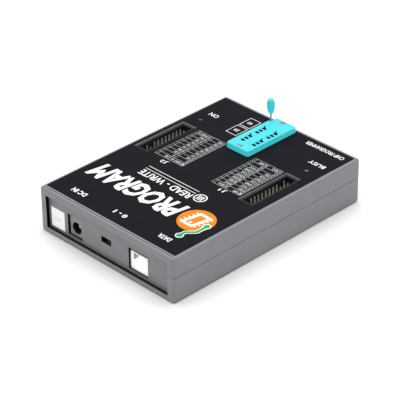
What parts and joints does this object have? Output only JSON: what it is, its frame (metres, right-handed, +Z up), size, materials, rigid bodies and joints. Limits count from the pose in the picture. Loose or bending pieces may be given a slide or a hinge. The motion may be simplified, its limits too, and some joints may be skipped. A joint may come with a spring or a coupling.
{
  "type": "usb microcontroller programmer",
  "caption": "Desktop USB programmer for microcontroller chips: flat grey case, black printed top, box headers and a turquoise lever-operated chip socket.",
  "frame": {"origin": "centre of the footprint, on the surface that the rubber feet stand on", "axes": "+X to the right of a user who reads the labels, +Y towards the panel with the USB and power sockets, +Z up"},
  "size_m": [0.0922, 0.127, 0.0398],
  "materials": {
    "case_plastic": "mid grey moulded ABS with a fine matt texture",
    "overlay_black": "satin black screen-printed polyester",
    "label_paper": "plain white self-adhesive label",
    "screw_steel": "bright plated steel",
    "foot_rubber": "matt black rubber",
    "board_laminate": "green solder mask over glass laminate",
    "plated_shell": "bright tin-plated sheet steel",
    "insulator_white": "glossy white moulded insulator",
    "jack_grey": "mid grey moulded thermoplastic",
    "connector_black": "black moulded thermoplastic",
    "contact_gold": "pale gold-plated contacts",
    "socket_turquoise": "bright turquoise moulded plastic, lightly glossy",
    "capacitor_can": "plain aluminium can",
    "led_lens": "frosted pale lens, unlit"
  },
  "bodies": {
    "case": {"bottom_shell": "case_plastic", "top_shell": "case_plastic", "rear_panel": "case_plastic", "front_panel": "case_plastic", "top_overlay": "overlay_black", "serial_sticker": "label_paper", "case_screw_1": "screw_steel", "case_screw_2": "screw_steel", "case_screw_3": "screw_steel", "case_screw_4": "screw_steel", "board_screw_1": "screw_steel", "board_screw_2": "screw_steel", "board_screw_3": "screw_steel", "board_screw_4": "screw_steel", "zif_screw_1": "screw_steel", "zif_screw_2": "screw_steel", "dc_jack_pin": "screw_steel", "dc_jack_spring": "screw_steel", "foot_1": "foot_rubber", "foot_2": "foot_rubber", "foot_3": "foot_rubber", "foot_4": "foot_rubber", "circuit_board": "board_laminate", "usb_shell": "plated_shell", "switch_frame": "plated_shell", "crystal": "plated_shell", "usb_insulator": "insulator_white", "dc_jack_body": "jack_grey", "switch_base": "connector_black", "left_header_body": "connector_black", "right_header_body": "connector_black", "controller_chip": "connector_black", "interface_chip": "connector_black", "voltage_regulator": "connector_black", "inductor": "connector_black", "left_header_pins": "contact_gold", "right_header_pins": "contact_gold", "zif_contacts_left": "contact_gold", "zif_contacts_right": "contact_gold", "zif_base": "socket_turquoise", "zif_cover": "socket_turquoise", "capacitor_1": "capacitor_can", "capacitor_2": "capacitor_can", "capacitor_3": "capacitor_can", "power_led": "led_lens", "mode_led": "led_lens"},
    "zif_lever": {"zif_lever": "screw_steel", "zif_knob": "socket_turquoise"},
    "zif_slide": {"zif_slide": "socket_turquoise"},
    "switch_slider": {"switch_slider": "connector_black"}
  },
  "joints": [
    {"name": "zif_lever_turn", "type": "hinge", "parent": "case", "child": "zif_lever", "pos_m": [0.00775, -0.0566, 0.0254], "axis": [1, 0, 0], "range_deg": [0, 85]},
    {"name": "zif_slide_shift", "type": "slide", "parent": "case", "child": "zif_slide", "axis": [0, 1, 0], "range_m": [0, 0.001]},
    {"name": "power_switch_slide", "type": "slide", "parent": "case", "child": "switch_slider", "axis": [1, 0, 0], "range_m": [0, 0.003]}
  ],
  "couplings": [
    {"joint": "zif_lever_turn", "follows": "zif_slide_shift", "rad_per_m": 1483.5}
  ]
}
